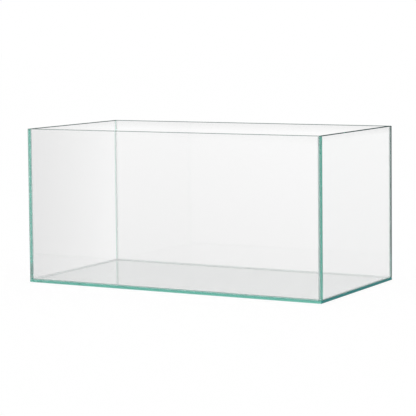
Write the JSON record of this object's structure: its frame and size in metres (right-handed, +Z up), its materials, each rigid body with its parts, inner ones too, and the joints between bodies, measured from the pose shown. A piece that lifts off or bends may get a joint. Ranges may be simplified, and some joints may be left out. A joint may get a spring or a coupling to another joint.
{
  "type": "aquarium",
  "caption": "Rimless open-top rectangular glass fish tank: flat panes on a base pane, edges glued with clear silicone and sealed by beads in the inside corners.",
  "frame": {"origin": "centre of the underside of the bottom pane", "axes": "+X along the tank's length, -Y towards the front, +Z up"},
  "size_m": [0.6, 0.31, 0.287],
  "materials": {
    "clear_glass": "float glass, polished faces, green-tinted polished edges",
    "clear_silicone": "cured clear silicone, smooth"
  },
  "bodies": {
    "root": {"bottom_pane": "clear_glass", "front_pane": "clear_glass", "back_pane": "clear_glass", "left_pane": "clear_glass", "right_pane": "clear_glass", "front_base_joint": "clear_silicone", "back_base_joint": "clear_silicone", "left_base_joint": "clear_silicone", "right_base_joint": "clear_silicone", "front_left_corner_joint": "clear_silicone", "front_right_corner_joint": "clear_silicone", "back_left_corner_joint": "clear_silicone", "back_right_corner_joint": "clear_silicone", "front_floor_seal": "clear_silicone", "back_floor_seal": "clear_silicone", "left_floor_seal": "clear_silicone", "right_floor_seal": "clear_silicone", "front_left_corner_seal": "clear_silicone", "front_right_corner_seal": "clear_silicone", "back_left_corner_seal": "clear_silicone", "back_right_corner_seal": "clear_silicone"}
  },
  "joints": []
}
